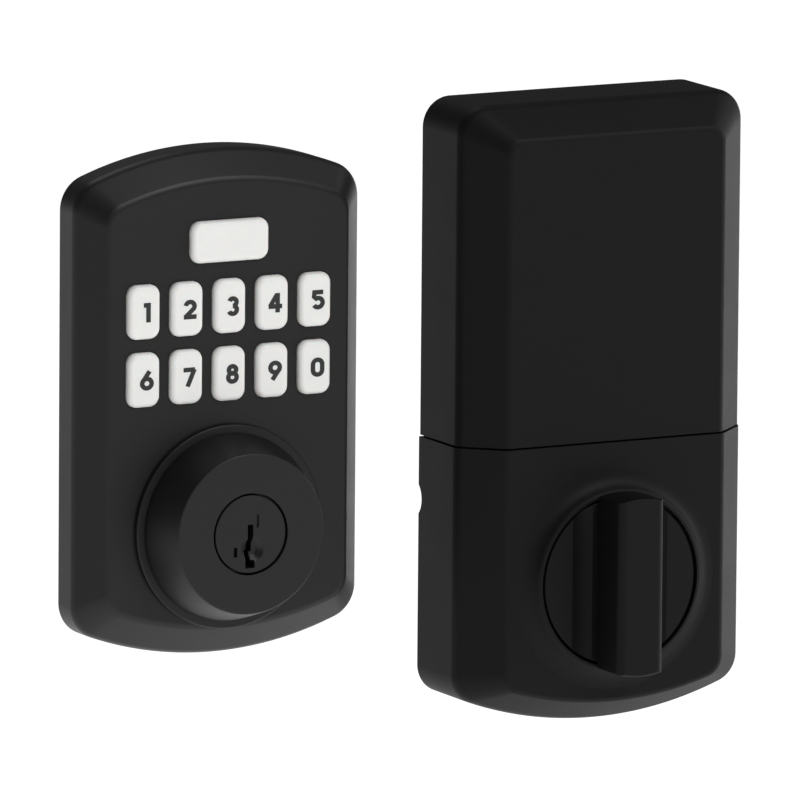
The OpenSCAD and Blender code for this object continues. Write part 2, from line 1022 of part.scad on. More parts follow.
module position_switch() {
    color(dark)
        inside()
            translate([cboard_right - 6, 0, 0])
                difference() {
                    block([-2.6, -5, cboard_top + 0.05], [6.8, 5, cboard_top + 4.6]);
                    block([4.6, -6, cboard_top + 3.4], [7, 6, cboard_top + 6]);
                }
}

module thumbturn() {
    scoop_r = 16;
    edge = 1.8;
    grip = paddle_w - 2 * edge;
    color(dark)
        inside() {
            difference() {
                union() {
                    disc(disc_r, disc_low, disc_top, $fn = 96);
                    disc(hub_r, cam_low + cam_t + 0.3, disc_low + gap);
                }
                disc(spindle_r + 0.02, 0, disc_low);
                for (side = [-1, 1])
                    translate([side * (paddle_w / 2 + 3.4), 0, disc_top + scoop_r - 1.3])
                        rotate([90, 0, 0])
                            cylinder(r = scoop_r, h = 3 * disc_r, center = true, $fn = 160);
            }
            intersection() {
                disc(paddle_reach, disc_low + 1, paddle_top, $fn = 96);
                union() {
                    block([-paddle_w / 2, -disc_r + 0.6, disc_low + 1],
                        [paddle_w / 2, disc_r - 0.6, boss_top + 1]);
                    block([-paddle_w / 2, -paddle_reach, boss_top + 0.4],
                        [paddle_w / 2, paddle_reach, paddle_top - edge]);
                    block([-grip / 2, -paddle_reach, boss_top + 0.4], [grip / 2, paddle_reach, paddle_top]);
                    for (side = [-1, 1])
                        translate([side * grip / 2, 0, paddle_top - edge])
                            rotate([90, 0, 0])
                                cylinder(r = edge, h = 2 * paddle_reach, center = true);
                }
            }
        }
}

module battery_holder() {
    color(dark)
        inside() {
            slab(tray_low, tray_low + tray_floor_t)
                translate([0, (tray_y + tray_high_y) / 2])
                    square([2 * tray_half + 2 * tray_wall, tray_high_y - tray_y], center = true);
            for (y = [tray_y, tray_high_y - tray_wall])
                block([-tray_half - tray_wall, y, tray_low], [tray_half + tray_wall, y + tray_wall, cell_z + 4]);
            for (x = [-tray_half - tray_wall, tray_half])
                block([x, tray_y, tray_low], [x + tray_wall, tray_high_y, cell_z - 1]);
            for (x = [-20, 20], y = [tray_y + 4, tray_high_y - 10])
                translate([x, y, 0])
                    disc(3, chassis_top, tray_low + gap);
            difference() {
                block([-6, seam_y + 1.6, chassis_top], [6, tray_y + gap, tray_low + 8]);
                translate([button_x, button_y, 0])
                    disc(button_r + 0.2, tray_low + 2, tray_low + 9);
            }
        }
}

// One cell: plain can with its small cap at the far end
module cell() {
    rotate([-90, 0, 0]) {
        cylinder(r = cell_r, h = cell_len - 1.2);
        cylinder(r = 2.6, h = cell_len);
    }
}

// Puts something at each cell's lower end; every second one is upside down
module at_cells() {
    for (i = [0 : 3])
        translate([(i - 1.5) * cell_pitch, cell_y + (i % 2 == 0 ? 0 : cell_len), cell_z])
            rotate([0, 0, i % 2 == 0 ? 0 : 180])
                children();
}

module aa_cells() {
    color("#c9a23a")
        inside()
            at_cells()
                cell();
}

module battery_springs() {
    wire = 0.45;
    color(steel)
        inside()
            for (i = [0 : 3])
                translate([(i - 1.5) * cell_pitch, tray_y + tray_wall + gap + wire, cell_z])
                    rotate([-90, 0, 0])
                        for (turn = [0 : 3])
                            translate([0, 0, turn * wire * 1.8])
                                rotate_extrude()
                                    translate([5 - turn * 0.4, 0])
                                        circle(wire, $fn = 16);
}

module battery_contacts() {
    color(steel)
        inside()
            for (i = [0 : 3])
                translate([(i - 1.5) * cell_pitch, tray_high_y - tray_wall - 0.7, cell_z])
                    cube([9, 0.5, 9], center = true);
}

module program_button() {
    color(white)
        inside()
            translate([button_x, button_y, 0])
                disc(button_r, tray_low + 4.2, tray_low + 9.4);
}

module program_switch() {
    color(dark)
        inside()
            translate([button_x, button_y, 0])
                disc(button_r, tray_low + 2.05, tray_low + 3.2);
}

escutcheon();
rim_gasket();
digit_key(1, 1);  // key_1
digit_key(2, 1);  // key_2
digit_key(3, 1);  // key_3
digit_key(4, 1);  // key_4
digit_key(5, 1);  // key_5
digit_key(1, 2);  // key_6
digit_key(2, 2);  // key_7
digit_key(3, 2);  // key_8
digit_key(4, 2);  // key_9
digit_key(5, 2);  // key_0
lock_key();
keypad_mat();
keypad_board();
keypad_retainer();
retainer_screws();
keypad_socket();
cylinder_collar();
collar_nut();
cylinder_body();
key_plug();
plug_clip();
key_pins();
driver_pins();
pin_springs();
torque_blade();
threaded_posts();
lower_housing();
battery_cover();
mounting_plate();
chassis();
chassis_screws();
housing_screws();
spindle_bushing();
turn_spindle();
spindle_clip();
main_gear();
thumbturn();
idler_gear();
idler_axle();
motor_pinion();
motor_shaft();
gear_motor();
gearbox_plate();
gearbox_screws();
control_board();
board_screws();
buzzer();
harness_socket();
position_cam();
position_switch();
battery_holder();
aa_cells();
battery_springs();
battery_contacts();
program_button();
program_switch();
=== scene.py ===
# %% [markdown]
# # A keypad smart lock, modelled cell by cell
# The lock comes as two halves. The outside half is a cast plate with eleven keys and a key
# cylinder. The inside half is a tall unit with a thumbturn, a gear train and four cells.
# The CAD model holds every real piece at its real size, and it is loaded first as a fixed frame.
# The pieces that the eye meets are then modelled again here, with soft edges and true curves,
# and the pieces inside keep their CAD shape and get a better material.

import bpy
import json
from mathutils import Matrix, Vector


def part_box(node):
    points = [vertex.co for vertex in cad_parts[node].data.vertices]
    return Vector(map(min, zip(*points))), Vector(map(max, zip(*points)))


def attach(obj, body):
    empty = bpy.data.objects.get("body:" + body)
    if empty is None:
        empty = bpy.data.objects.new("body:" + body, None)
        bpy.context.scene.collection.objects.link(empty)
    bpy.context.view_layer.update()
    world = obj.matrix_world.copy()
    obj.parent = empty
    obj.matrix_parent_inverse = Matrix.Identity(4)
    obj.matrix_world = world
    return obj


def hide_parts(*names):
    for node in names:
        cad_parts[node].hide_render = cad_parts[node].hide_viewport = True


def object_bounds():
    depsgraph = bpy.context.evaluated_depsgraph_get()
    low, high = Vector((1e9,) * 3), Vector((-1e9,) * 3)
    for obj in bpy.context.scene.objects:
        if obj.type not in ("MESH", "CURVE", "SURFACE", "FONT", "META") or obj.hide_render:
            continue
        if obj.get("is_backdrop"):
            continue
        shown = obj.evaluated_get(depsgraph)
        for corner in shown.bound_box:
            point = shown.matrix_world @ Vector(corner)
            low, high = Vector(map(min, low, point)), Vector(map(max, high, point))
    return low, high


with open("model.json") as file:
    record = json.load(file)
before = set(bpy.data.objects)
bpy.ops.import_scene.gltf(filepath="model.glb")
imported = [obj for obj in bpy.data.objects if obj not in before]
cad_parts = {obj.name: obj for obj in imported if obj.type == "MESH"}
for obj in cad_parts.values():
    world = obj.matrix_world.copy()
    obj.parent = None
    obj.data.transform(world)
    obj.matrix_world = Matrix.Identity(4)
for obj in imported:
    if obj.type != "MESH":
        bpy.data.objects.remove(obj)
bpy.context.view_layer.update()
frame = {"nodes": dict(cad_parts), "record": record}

# %% [markdown]
# ## Units and small helpers
# Blender works in metres here, so sizes are written as so many `mm`.
# Every operator acts on what is selected, so each step starts with nothing selected, and the
# faces or edges to work on are then picked by their place.

# %% Units and selection helpers
import json
import math

import bpy
from mathutils import Matrix, Vector

mm = 0.001
hair = 0.01 * mm
quarter = math.pi / 2


def nothing_selected():
    if bpy.context.object and bpy.context.object.mode != "OBJECT":
        bpy.ops.object.mode_set(mode="OBJECT")
    bpy.ops.object.select_all(action="DESELECT")


def only(piece):
    nothing_selected()
    bpy.context.view_layer.objects.active = piece
    piece.select_set(True)


def settle(name):
    """Names the piece that was just added and moves its place into its mesh."""
    piece = bpy.context.object
    piece.name = piece.data.name = name
    bpy.ops.object.transform_apply(location=True, rotation=True, scale=True)
    return piece


def pick(piece, kind, wanted):
    """Selects the piece's vertices, edges or faces that `wanted` says yes to."""
    only(piece)
    bpy.ops.object.mode_set(mode="EDIT")
    bpy.ops.mesh.select_mode(type=kind)
    bpy.ops.mesh.select_all(action="DESELECT")
    bpy.ops.object.mode_set(mode="OBJECT")
    mesh = piece.data
    if kind == "VERT":
        for corner in mesh.vertices:
            corner.select = wanted(corner.co)
    if kind == "EDGE":
        for edge in mesh.edges:
            edge.select = wanted(*(mesh.vertices[i].co for i in edge.vertices))
    if kind == "FACE":
        for face in mesh.polygons:
            face.select = wanted(face.center, face.normal)
    bpy.ops.object.mode_set(mode="EDIT")


def done():
    bpy.ops.object.mode_set(mode="OBJECT")


def clean(piece):
    """Merges doubled corners and turns every face outwards."""
    pick(piece, "VERT", lambda at: True)
    bpy.ops.mesh.remove_doubles(threshold=hair / 2)
    bpy.ops.mesh.normals_make_consistent(inside=False)
    done()


def modify(piece, kind, **settings):
    """Adds a modifier with its settings and applies it."""
    only(piece)
    modifier = piece.modifiers.new(kind, kind)
    for key, value in settings.items():
        setattr(modifier, key, value)
    bpy.ops.object.modifier_apply(modifier=modifier.name)


def join(first, *others):
    only(first)
    for other in others:
        other.select_set(True)
    bpy.ops.object.join()
    return first


def cut(piece, cutter, how="DIFFERENCE"):
    """Cuts a piece with a cutter, which is then thrown away."""
    modify(piece, "BOOLEAN", object=cutter, operation=how, solver="EXACT")
    bpy.data.objects.remove(cutter)


def moved(piece, step):
    piece.data.transform(Matrix.Translation(step))
    return piece


# %% [markdown]
# ## Drawing with a pen
# Both halves have outlines of arcs and straight lines, and so have the turned parts. Each is
# drawn the way it is drawn on paper: the pen is put down at one point, goes along straight
# lines by extruding, and round arcs by spinning about the arc's centre.

# %% Pen, box and rod
def pen_down(name, at):
    """Starts a piece as a single point, and leaves it open for the pen."""
    nothing_selected()
    bpy.ops.mesh.primitive_plane_add(size=mm)
    piece = bpy.context.object
    piece.name = piece.data.name = name
    bpy.ops.object.mode_set(mode="EDIT")
    bpy.ops.mesh.select_mode(type="VERT")
    bpy.ops.mesh.select_all(action="SELECT")
    bpy.ops.mesh.merge(type="CENTER")
    bpy.ops.transform.translate(value=at)
    return piece


def line_by(step):
    bpy.ops.mesh.extrude_vertices_move(TRANSFORM_OT_translate={"value": step})


def arc_round(centre, angle, steps):
    """Goes clockwise about a centre, seen from the front."""
    bpy.ops.mesh.spin(steps=steps, angle=-angle, center=centre, axis=(0, 1, 0))


def box(name, low, high):
    nothing_selected()
    low, high = Vector(low), Vector(high)
    bpy.ops.mesh.primitive_cube_add(size=1, location=(low + high) / 2, scale=high - low)
    return settle(name)


def rod(name, radius, x, z, front, back, sides=96, tip=None):
    """A round bar along Y. With a tip radius its front end is wider or narrower."""
    nothing_selected()
    bpy.ops.mesh.primitive_cone_add(
        vertices=sides, radius1=radius, radius2=radius if tip is None else tip,
        depth=back - front, location=(x, (front + back) / 2, z), rotation=(quarter, 0, 0))
    return settle(name)


def rounded_bar(name, low, high, radius, steps=8):
    """A box along Y with four rounded long edges."""
    bar = box(name, low, high)
    pick(bar, "EDGE", lambda a, b: abs(a.y - b.y) > hair)
    bpy.ops.mesh.bevel(offset=radius, segments=steps, affect="EDGES")
    done()
    return bar


def soften(piece, radius, wanted, steps=4):
    """Rounds the edges that `wanted` says yes to."""
    pick(piece, "EDGE", wanted)
    bpy.ops.mesh.bevel(offset=radius, segments=steps, affect="EDGES", clamp_overlap=False)
    done()


def smooth(piece, degrees=35):
    """Smooth shading that keeps flat faces flat and sharp edges sharp."""
    only(piece)
    bpy.ops.object.shade_smooth_by_angle(angle=math.radians(degrees))
    modify(piece, "WEIGHTED_NORMAL", keep_sharp=True, weight=100)
    return piece


def lathe(name, profile, steps=160):
    """A turned ring about the Y axis. The profile is a list of (radius, y) points."""
    piece = pen_down(name, (*profile[0], 0))
    for (r0, y0), (r1, y1) in zip(profile, profile[1:]):
        line_by((r1 - r0, y1 - y0, 0))
    bpy.ops.mesh.select_all(action="SELECT")
    done()
    ends = (Vector((*profile[0], 0)), Vector((*profile[-1], 0)))
    pick(piece, "VERT", lambda at: min((at - end).length for end in ends) < hair)
    bpy.ops.mesh.edge_face_add()
    bpy.ops.mesh.select_all(action="SELECT")
    bpy.ops.mesh.spin(steps=steps, angle=2 * math.pi, center=(0, 0, 0), axis=(0, 1, 0))
    done()
    clean(piece)
    return piece


def ring_at(radius, y):
    """Says yes to the edges of one ring of a turned piece."""
    return lambda a, b: all(
        abs(math.hypot(at.x, at.z) - radius) < 5 * hair and abs(at.y - y) < 2 * hair for at in (a, b))


# %% [markdown]
# ## The arched form
# Both housings are the same kind of form: a straight side wall, a sloping bevel and a flat
# face, with round corners and an arched bottom. Two outlines are drawn, one where the side
# ends and one where the face starts, each as a half with the pen and then mirrored. They have
# the same number of corners, so a bridge between them makes an even bevel, and the edges that
# are left are rounded afterwards, as paint and casting leave them.

# %% One function for both forms
def outline(name, half, high, low, arch_high, arch_low, round_high, round_low, y):
    """Half of the outline is drawn from the top centre to the bottom centre, then mirrored."""
    high_x, low_x = half - round_high, half - round_low
    high_z = high - arch_high + math.sqrt((arch_high - round_high) ** 2 - high_x ** 2)
    low_z = low + arch_low - math.sqrt((arch_low - round_low) ** 2 - low_x ** 2)
    lean_high = math.atan2(high_x, high_z - high + arch_high)
    lean_low = math.atan2(low_x, low + arch_low - low_z)
    piece = pen_down(name, (0, y, high))
    arc_round((0, y, high - arch_high), lean_high, 20)
    arc_round((high_x, y, high_z), quarter - lean_high, 12)
    line_by((0, 0, low_z - high_z))
    arc_round((low_x, y, low_z), quarter - lean_low, 12)
    arc_round((0, y, low + arch_low), lean_low, 20)
    done()
    clean(piece)
    modify(piece, "MIRROR", use_axis=(True, False, False), merge_threshold=hair)
    return piece


def arched_form(name, lines):
    """A closed body through outlines from back to front. Each line is (y, outline sizes)."""
    rings = [outline(name, *sizes, y) for y, sizes in lines]
    body = join(*rings)
    for y in (lines[0][0], lines[-1][0]):
        pick(body, "VERT", lambda at: abs(at.y - y) < hair)
        bpy.ops.mesh.edge_face_add()
        done()
    for (y0, _), (y1, _) in zip(lines, lines[1:]):
        pick(body, "EDGE", lambda a, b: abs(a.y - b.y) < hair and min(abs(a.y - y0), abs(a.y - y1)) < hair)
        bpy.ops.mesh.bridge_edge_loops()
        done()
    clean(body)
    body.name = body.data.name = name
    return body


def between(low_y, high_y):
    """Says yes to edges that lie wholly between two depths."""
    return lambda a, b: low_y - hair < a.y < high_y + hair and low_y - hair < b.y < high_y + hair


def at_depth(y):
    """Says yes to edges that lie at one depth."""
    return between(y, y)


def upright_at(y):
    """Says yes to edges at one depth that run up the piece and not across it."""
    return lambda a, b: at_depth(y)(a, b) and abs(a.z - b.z) > mm


# %% [markdown]
# ## The escutcheon
# The outside plate is cast in zinc and powder coated, so no edge on it is sharp: a soft round
# runs where the side turns into the bevel, and a tighter one where the bevel meets the face.
# A second form, a wall thickness smaller, is cut out of it from behind.

# %% Escutcheon shell
plate_low, plate_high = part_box("escutcheon")
plate_side = 7.3 * mm
plate_face = -plate_low.y
plate_wall = 2.2 * mm
plate_corner = 8 * mm
plate_arch = 88 * mm
plate_bevel_side, plate_bevel_top, plate_bevel_bottom = 5.8 * mm, 6.5 * mm, 7 * mm


def plate_line(side, top, bottom):
    """The plate's outline, set in by three amounts."""
    turn = plate_corner - 0.4 * side
    return (plate_high.x - side, plate_high.z - top, plate_low.z + bottom,
            plate_arch - top, plate_arch - bottom, turn, turn)


def plate_form(name, skin, back):
    return arched_form(name, [
        (back, plate_line(skin, skin, skin)),
        (-plate_side, plate_line(skin, skin, skin)),
        (skin - plate_face, plate_line(
            skin + plate_bevel_side, skin + plate_bevel_top, skin + plate_bevel_bottom)),
    ])


escutcheon = plate_form("escutcheon_cast", 0, 0)
soften(escutcheon, 1.3 * mm, at_depth(-plate_side), 6)
soften(escutcheon, 0.9 * mm, at_depth(-plate_face), 5)
cut(escutcheon, plate_form("plate_hollow", plate_wall, mm))
print("escutcheon", len(escutcheon.data.polygons), "faces before its windows")

# %% [markdown]
# Every key goes through its own window, a little larger than the key. The windows' places
# come from the keys' own boxes in the CAD model.

# %% Key windows and cylinder hole
digits = "1234567890"
key_names = ["key_" + digit for digit in digits] + ["lock_key"]
window_play = 0.22 * mm
flange = 0.8 * mm
key_round = 2.5 * mm
cylinder_hole = 17.3 * mm
window_front, window_back = -plate_face - mm, -plate_face + plate_wall + mm


def cap_box(name):
    """The corners of a key's cap, which is smaller than the flange behind the face."""
    low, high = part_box(name)
    inset = Vector((flange, 0, flange))
    return low + inset, Vector((high.x, low.y, high.z)) - inset


cutters = []
for name in key_names:
    low, high = cap_box(name)
    cutters.append(rounded_bar(
        "window", (low.x - window_play, window_front, low.z - window_play),
        (high.x + window_play, window_back, high.z + window_play), key_round + window_play))
cutters.append(rod("window", cylinder_hole, 0, 0, window_front, window_back))
cut(escutcheon, join(*cutters))

# %% [markdown]
# Behind the face stand four posts, which the keypad's screws go into. They are added as rods
# that reach a little into the wall, and then drilled.

# %% Screw posts behind the keypad
screws_low, screws_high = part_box("retainer_screws")
head_r = 2.2 * mm
post_r, post_hole_r = 2.3 * mm, 1.2 * mm
post_from = -plate_face + plate_wall - 0.4 * mm
post_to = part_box("keypad_board")[0].y - 0.1 * mm
for x in (screws_low.x + head_r, screws_high.x - head_r):
    for z in (screws_low.z + head_r, screws_high.z - head_r):
        cut(escutcheon, rod("post", post_r, x, z, post_from, post_to, 32), "UNION")
        cut(escutcheon, rod("post_hole", post_hole_r, x, z, post_from + 0.8 * mm, post_to + mm, 24))
smooth(escutcheon)
print("escutcheon", len(escutcheon.data.polygons), "faces")

# %% [markdown]
# ## Keys
# The keys are moulded in white plastic. Their faces are pillowed: the edge rolls over in a
# wide round and the middle is flat. One cap is a bar with rounded long edges and a wide round
# at its front, with its flange behind.

# %% Digit keys and the lock key
pillow = 1.2 * mm
lip_thick = 1.2 * mm
keys = {}
for name in key_names:
    low, high = cap_box(name)
    back_low, back_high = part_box(name)
    cap = rounded_bar(name + "_cap", low, (high.x, back_high.y - lip_thick / 2, high.z), key_round)
    soften(cap, pillow, at_depth(low.y), 7)
    back_low.y = back_high.y - lip_thick
    lip = rounded_bar(name + "_lip", back_low, back_high, key_round, 4)
    keys[name] = smooth(join(cap, lip), 50)
print("keys", len(keys), "with", sum(len(key.data.polygons) for key in keys.values()), "faces")

# %% [markdown]
# ## Digits
# Each digit is printed on its key. It is drawn like a signwriter's stroke: the pen draws the
# middle line, the line is pulled out to a ribbon as deep as the ink, and Solidify gives the
# ribbon the stroke's width. Strokes that meet are joined by a boolean union.

# %% Strokes for ten digits
digit_high = 4.5 * mm
stroke_wide = 1.05 * mm
ink = 0.06 * mm
tall = (digit_high - stroke_wide) / 2


def stroke(start, *moves):
    """Moves are ("line", x, z) to a point, or ("arc", centre x, centre z, degrees, steps)."""
    piece = pen_down("stroke", (start[0] * mm, 0, start[1] * mm))
    at = Vector((start[0], 0, start[1]))
    for kind, x, z, *rest in moves:
        if kind == "line":
            line_by(((x - at.x) * mm, 0, (z - at.z) * mm))
            at = Vector((x, 0, z))
        else:
            angle, steps = math.radians(rest[0]), rest[1]
            arc_round((x * mm, 0, z * mm), angle, steps)
            centre = Vector((x, 0, z))
            at = centre + Matrix.Rotation(angle, 3, "Y") @ (at - centre)
    bpy.ops.mesh.select_all(action="SELECT")
    bpy.ops.mesh.remove_doubles(threshold=hair)
    bpy.ops.mesh.extrude_region_move(TRANSFORM_OT_translate={"value": (0, -ink, 0)})
    done()
    modify(piece, "SOLIDIFY", thickness=stroke_wide, offset=0, use_even_offset=True)
    clean(piece)
    return piece


def on(x, z, radius, degrees):
    """A point on a circle, counted clockwise from its top."""
    turn = math.radians(degrees)
    return x + radius * math.sin(turn), z + radius * math.cos(turn)


h = tall / mm
edge = h + stroke_wide / mm / 2
digit_strokes = {
    "1": [((-0.8, h), ("line", 0.3, h), ("line", 0.3, -edge))],
    "2": [(on(0, h - 1.02, 1.02, -80), ("arc", 0, h - 1.02, 205, 18), ("line", -1.05, -h + 0.05)),
          ((-1.45, -h), ("line", 1.5, -h))],
    "3": [(on(0, 0.93, 0.845, -70), ("arc", 0, 0.93, 250, 20)),
          (on(0, -0.85, 0.925, 0), ("arc", 0, -0.85, 250, 20))],
    "4": [((0.5, -edge), ("line", 0.5, edge)), ((0.36, h + 0.25), ("line", -1.3, -0.8)),
          ((-1.6, -0.8), ("line", 1.55, -0.8))],
    "5": [((1.2, h), ("line", -0.85, h), ("line", -0.98, 0.35)),
          (on(0, -0.7, 1.075, -52), ("arc", 0, -0.7, 292, 24))],
    "6": [(on(0, -0.68, 1.095, 0), ("arc", 0, -0.68, 360, 30)),
          ((0.62, edge - 0.1), ("line", -0.93, -0.2))],
    "7": [((-1.45, h), ("line", 1.2, h)), ((1.1, h + 0.1), ("line", -0.5, -edge + 0.1))],
    "8": [(on(0, 0.93, 0.845, 0), ("arc", 0, 0.93, 360, 26)),
          (on(0, -0.8, 0.975, 0), ("arc", 0, -0.8, 360, 28))],
    "9": [(on(0, 0.68, 1.095, 0), ("arc", 0, 0.68, 360, 30)),
          ((-0.62, 0.1 - edge), ("line", 0.93, 0.2))],
    "0": [((0, h), ("arc", 0, h - 1.08, 90, 9), ("line", 1.08, 1.08 - h), ("arc", 0, 1.08 - h, 180, 18),
           ("line", -1.08, h - 1.08), ("arc", 0, h - 1.08, 90, 9))],
}

# %% [markdown]
# The ink lies on the front of each key, towards its right-hand side. It could be a painted
# pattern in the key's material, but as thin solid strokes it keeps a crisp edge, needs no
# image, and moves in with its key when the key is pressed.

# %% Ink on the keys
digit_stretch = 1.1
digit_shift = 0.5 * mm
sunk = 0.01 * mm
prints = {}
for digit, strokes in digit_strokes.items():
    first, *others = [stroke(*way) for way in strokes]
    for other in others:
        cut(first, other, "UNION")
    low, high = cap_box("key_" + digit)
    middle = (low + high) / 2
    first.name = first.data.name = "digit_" + digit
    only(first)
    bpy.ops.transform.resize(value=(digit_stretch, 1, 1))
    bpy.ops.object.transform_apply(scale=True)
    moved(first, (middle.x + digit_shift, low.y + sunk, middle.z))
    prints[digit] = first
    print("digit", digit, len(first.data.polygons), "faces")

# %% [markdown]
# ## Cylinder collar
# The collar is turned on a lathe, so it is made the same way here: half of its section is
# drawn and spun round its axis. It has a thin foot, a step, and a long cone up to a flat
# front. The edges of a turned part are broken with a tiny chamfer, which catches the light.

# %% Collar
def broken_edges(piece, rings, size, steps=3):
    """Rounds the named rings, given as (radius, y), of a turned piece."""
    for radius, y in rings:
        soften(piece, size, ring_at(radius, y), steps)


collar_low, collar_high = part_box("cylinder_collar")
front, back = collar_low.y, collar_high.y
foot = collar_high.x
face = -plate_face - 0.02 * mm
bore = 15.25 * mm
sleeve = 17.15 * mm
ring_in, ring_thick = 9.5 * mm, 1.9 * mm
foot_front = face - 1.3 * mm
cone_foot = (foot - 2 * mm, face - 2.1 * mm)
cone_end = (18.6 * mm, front)
collar = lathe("collar_turned", [
    (bore, back), (sleeve, back), (sleeve, face), (foot, face), (foot, foot_front),
    (foot - 1.9 * mm, foot_front), cone_foot, (19.1 * mm, front + 1.4 * mm), cone_end,
    (ring_in, front), (ring_in, front + ring_thick), (bore, front + ring_thick)])
broken_edges(collar, [(foot, foot_front)], 0.35 * mm)
broken_edges(collar, [cone_foot, cone_end], 0.3 * mm)
broken_edges(collar, [(ring_in, front)], 0.15 * mm)
smooth(collar, 40)
print("collar", len(collar.data.polygons), "faces")

# %% [markdown]
# ## Key plug
# The plug is the round part that turns with the key. Its keyway zigzags, so the cutters are
# three thin boxes and one cone for the lead-in. Two small pockets lie beside it.

# %% Plug with its keyway
plug_low, plug_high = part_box("key_plug")
plug_front, neck_end = plug_low.y, plug_high.y
plug_r, neck_r = 9 * mm, 5.5 * mm
head_back = -3 * mm
plug = rod("plug_turned", plug_r, 0, 0, plug_front, head_back, 128)
broken_edges(plug, [(plug_r, plug_front)], 0.2 * mm)
cut(plug, rod("neck", neck_r, 0, 0, head_back - 0.1 * mm, neck_end, 64), "UNION")
keyway_back = -5 * mm


def opening(low_x, low_z, high_x, high_z, back):
    """Cuts a straight opening into the plug's front. Its four sides are in millimetres."""
    cut(plug, box("opening", (low_x * mm, plug_front - mm, low_z * mm), (high_x * mm, back, high_z * mm)))


opening(-0.7, -4.2, 0.7, 2.2, keyway_back)
opening(-1.3, -7.9, 0.1, -3.7, keyway_back)
opening(-0.7, -7.9, 1.1, -6.1, keyway_back)
cut(plug, rod("lead_in", 1.4 * mm, 0.5 * mm, -3.6 * mm, plug_front - 0.05 * mm, plug_front + 1.2 * mm,
              64, 3 * mm))
opening(-4.3, -5.1, -3.4, -2.9, plug_front + 1.1 * mm)
opening(1.5, 1.4, 2.1, 4.4, plug_front + 0.4 * mm)
half_seat, seat_deep = Vector((3.45, 0, 0.95)) * mm, 1.8 * mm
cut(plug, box("blade_slot", (-half_seat.x, neck_end - seat_deep, -half_seat.z),
              (half_seat.x, neck_end + mm, half_seat.z)))

# %% [markdown]
# Five chambers go down into the plug from its top, one for each pin. They follow the pins'
# own places in the CAD model, with a running clearance round each pin.

# %% Pin chambers
pins_low, pins_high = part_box("key_pins")
pin_count = 5
pin_r = (pins_high.x - pins_low.x) / 2
chamber_r = pin_r + 0.05 * mm
pin_step = (pins_high.y - pins_low.y - 2 * pin_r) / (pin_count - 1)
for pin in range(pin_count):
    chamber = rod("chamber", chamber_r, 0, 0, -10 * mm, -1.4 * mm, 32)
    chamber.data.transform(Matrix.Rotation(-quarter, 4, "X"))
    moved(chamber, (0, pins_low.y + pin_r + pin * pin_step, 0))
    cut(plug, chamber)
smooth(plug, 35)
print("plug", len(plug.data.polygons), "faces")

# %% [markdown]
# ## The inside unit
# The inside unit is one moulded form in two pieces. It is modelled whole, so that the bevels
# run on across the joint, and then split at the seam with a flat cut. The battery cover is a
# hair narrower, as its slides leave a small step that can be seen in the outline.

# %% Whole form of the inside unit
unit_low, unit_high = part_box("lower_housing")
cover_low, cover_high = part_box("battery_cover")
unit_x = (unit_low.x + unit_high.x) / 2
unit_z = unit_low.z + 34.3 * mm  # height of the thumbturn's axis
unit_half = (unit_high.x - unit_low.x) / 2
unit_side, unit_face, unit_wall = 18.2 * mm, 26.6 * mm, 2.1 * mm
unit_corner = 7 * mm
nearly_straight, unit_arch = 9000 * mm, 92 * mm
unit_bevel_side, unit_bevel_top, unit_bevel_bottom = 9 * mm, 7.4 * mm, 5.6 * mm
side_round, face_round = 1.6 * mm, 0.8 * mm
cover_step = 0.3 * mm
top, bottom = cover_high.z + cover_step - unit_z, unit_low.z - unit_z
seam_low, seam_high = unit_high.z - unit_z, cover_low.z - unit_z


def unit_line(side, high, low):
    """The unit's outline, set in by three amounts. Its top is nearly straight."""
    return (unit_half - side, top - high, bottom + low, nearly_straight, unit_arch - low,
            unit_corner - 0.35 * side, unit_corner - 0.25 * side)


def unit_form(name, skin, back):
    return arched_form(name, [
        (back, unit_line(skin, skin, skin)),
        (-unit_side, unit_line(skin, skin, skin)),
        (skin - unit_face, unit_line(
            skin + unit_bevel_side, skin + unit_bevel_top, skin + unit_bevel_bottom)),
    ])


def unit_shell(name, skin):
    shell = unit_form(name, skin, 0)
    soften(shell, side_round, at_depth(-unit_side), 6)
    soften(shell, face_round, at_depth(skin - unit_face), 5)
    cut(shell, unit_form("unit_hollow", unit_wall, mm))
    return shell


def beyond(piece, z, keep_above):
    """Keeps the part of a piece on one side of a level, cutting it with a large box."""
    far = 400 * mm
    low, high = (-far, z) if keep_above else (z, far)
    cut(piece, box("beyond", (-far, -far, low), (far, far, high)))
    return piece


# %% [markdown]
# The lower housing carries the thumbturn. It could be one solid with everything cut out of
# it, but a real moulding is a thin wall, so it is a shell below the seam, closed at the seam
# by a shelf. A turned boss stands out round the thumbturn, two posts take the screws from
# behind, and the left-hand wall has a round notch.

# %% Lower housing
lower = beyond(unit_shell("lower_housing_moulded", 0), seam_low - unit_wall, False)
slab = beyond(beyond(unit_form("shelf", 0, 0), seam_low - unit_wall, True), seam_low, False)
soften(slab, side_round, upright_at(-unit_side), 6)
soften(slab, face_round, upright_at(-unit_face), 5)
cut(lower, slab, "UNION")
room = unit_half - unit_wall - 0.2 * mm
cut(lower, box("chassis_room", (-room, -3.7 * mm, 0), (room, mm, seam_low + mm)))
boss_front = unit_low.y
boss_hole = 20.3 * mm
